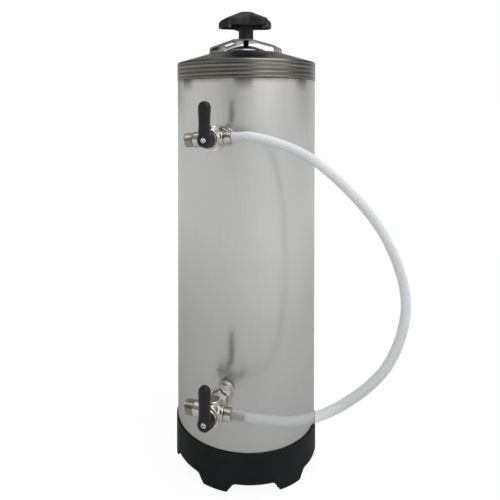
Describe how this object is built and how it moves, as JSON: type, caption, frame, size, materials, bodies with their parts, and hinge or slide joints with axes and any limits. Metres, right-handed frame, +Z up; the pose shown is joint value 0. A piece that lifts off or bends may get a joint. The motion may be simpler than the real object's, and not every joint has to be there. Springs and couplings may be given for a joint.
{
  "type": "manual water softener",
  "caption": "Upright stainless resin tank with a clamped lid, star knob, two three-way lever valves, a bypass hose and a black boot.",
  "frame": {"origin": "on the floor, under the middle of the part's bounding box; the tank's axis is at X -58.7 mm, Y +36.4 mm", "axes": "+Z up along the tank's axis, -Y to the front where the levers are, +X towards the bow of the hose"},
  "size_m": [0.3054, 0.2612, 0.593],
  "materials": {
    "satin_stainless": "satin mill finish",
    "polished_stainless": "polished, slightly wavy",
    "nickel_brass": "bright nickel plating over forged brass",
    "bright_chrome": "bright chrome plating",
    "brass": "turned brass",
    "black_steel": "blackened steel thread",
    "black_plastic": "satin moulded plastic",
    "boot_plastic": "fine grained moulded plastic",
    "seal_rubber": "matte rubber",
    "seat_plastic": "white machined seat plastic",
    "clear_hose": "translucent milky hose",
    "resin_beads": "loose amber beads"
  },
  "bodies": {
    "root": {"tank_shell": "satin_stainless", "top_dome": "polished_stainless", "bottom_dome": "satin_stainless", "base_boot": "boot_plastic", "resin_bed": "resin_beads", "bypass_hose": "clear_hose", "lower_strainer": "satin_stainless", "lower_tank_socket": "satin_stainless", "lower_socket_seal": "seal_rubber", "lower_back_nut": "nickel_brass", "lower_valve_body": "nickel_brass", "lower_port_seat": "seat_plastic", "lower_hose_seat": "seat_plastic", "lower_bonnet": "nickel_brass", "lower_stem_seal": "seal_rubber", "lower_hose_tail": "nickel_brass", "upper_strainer": "satin_stainless", "upper_tank_socket": "satin_stainless", "upper_socket_seal": "seal_rubber", "upper_back_nut": "nickel_brass", "upper_valve_body": "nickel_brass", "upper_port_seat": "seat_plastic", "upper_hose_seat": "seat_plastic", "upper_bonnet": "nickel_brass", "upper_stem_seal": "seal_rubber", "upper_hose_tail": "nickel_brass"},
    "bridge": {"bridge_clamp": "polished_stainless"},
    "knob": {"knob": "black_plastic", "knob_insert": "brass"},
    "lid": {"lid": "polished_stainless", "lid_gasket": "seal_rubber", "lid_stud": "black_steel"},
    "lower_lever": {"lower_lever": "black_plastic", "lower_lever_screw": "bright_chrome", "lower_stem": "nickel_brass", "lower_valve_ball": "bright_chrome"},
    "upper_lever": {"upper_lever": "black_plastic", "upper_lever_screw": "bright_chrome", "upper_stem": "nickel_brass", "upper_valve_ball": "bright_chrome"}
  },
  "joints": [
    {"name": "bridge_swivel", "type": "hinge", "parent": "root", "child": "bridge", "pos_m": [-0.05867, 0.03635, 0.5552], "axis": [0, 0, 1], "continuous": true},
    {"name": "knob_turn", "type": "hinge", "parent": "root", "child": "knob", "pos_m": [-0.05867, 0.03635, 0.56], "axis": [0, 0, 1], "range_deg": [0, 2880]},
    {"name": "lid_drop", "type": "slide", "parent": "root", "child": "lid", "axis": [0, 0, -1], "range_m": [0, 0.01]},
    {"name": "lower_lever_turn", "type": "hinge", "parent": "root", "child": "lower_lever", "pos_m": [-0.05867, -0.12365, 0.1224], "axis": [0, -1, 0], "range_deg": [-90, 90]},
    {"name": "upper_lever_turn", "type": "hinge", "parent": "root", "child": "upper_lever", "pos_m": [-0.05867, -0.12365, 0.43], "axis": [0, -1, 0], "range_deg": [-90, 90]}
  ],
  "couplings": [
    {"joint": "lid_drop", "follows": "knob_turn", "m_per_rad": 0.00019894}
  ]
}
